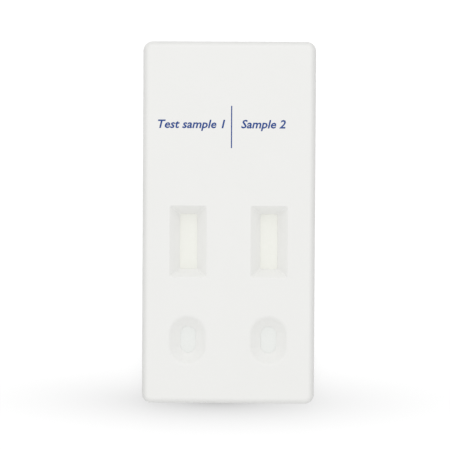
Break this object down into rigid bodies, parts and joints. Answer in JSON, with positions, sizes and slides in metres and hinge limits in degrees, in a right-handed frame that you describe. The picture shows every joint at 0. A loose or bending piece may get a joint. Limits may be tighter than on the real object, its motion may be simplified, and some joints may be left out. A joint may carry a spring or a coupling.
{
  "type": "lateral flow cassette",
  "caption": "Flat lateral flow test cassette: snap-fit white housing with bevelled result windows over its strips, and oval funnelled wells that take the sample.",
  "frame": {"origin": "centre of the flat back face that the cassette rests on", "axes": "+Z out of the front face with the windows, +Y along the length towards the label end, +X across, to the right with the label end up"},
  "size_m": [0.036, 0.0754, 0.005],
  "materials": {
    "housing": "white high-impact polystyrene, fine satin texture",
    "card": "white polystyrene card",
    "membrane": "matt nitrocellulose, faintly warm white",
    "conjugate_fibre": "glass-fibre mat with a faint dried tint",
    "sample_fibre": "soft cellulose fibre",
    "wick_paper": "thick blotting paper",
    "print_ink": "blue pad-printed ink"
  },
  "bodies": {
    "root": {"upper_shell": "housing", "lower_shell": "housing", "left_backing_card": "card", "right_backing_card": "card", "left_membrane": "membrane", "right_membrane": "membrane", "left_conjugate_pad": "conjugate_fibre", "right_conjugate_pad": "conjugate_fibre", "left_sample_pad": "sample_fibre", "right_sample_pad": "sample_fibre", "left_absorbent_pad": "wick_paper", "right_absorbent_pad": "wick_paper"}
  },
  "joints": []
}
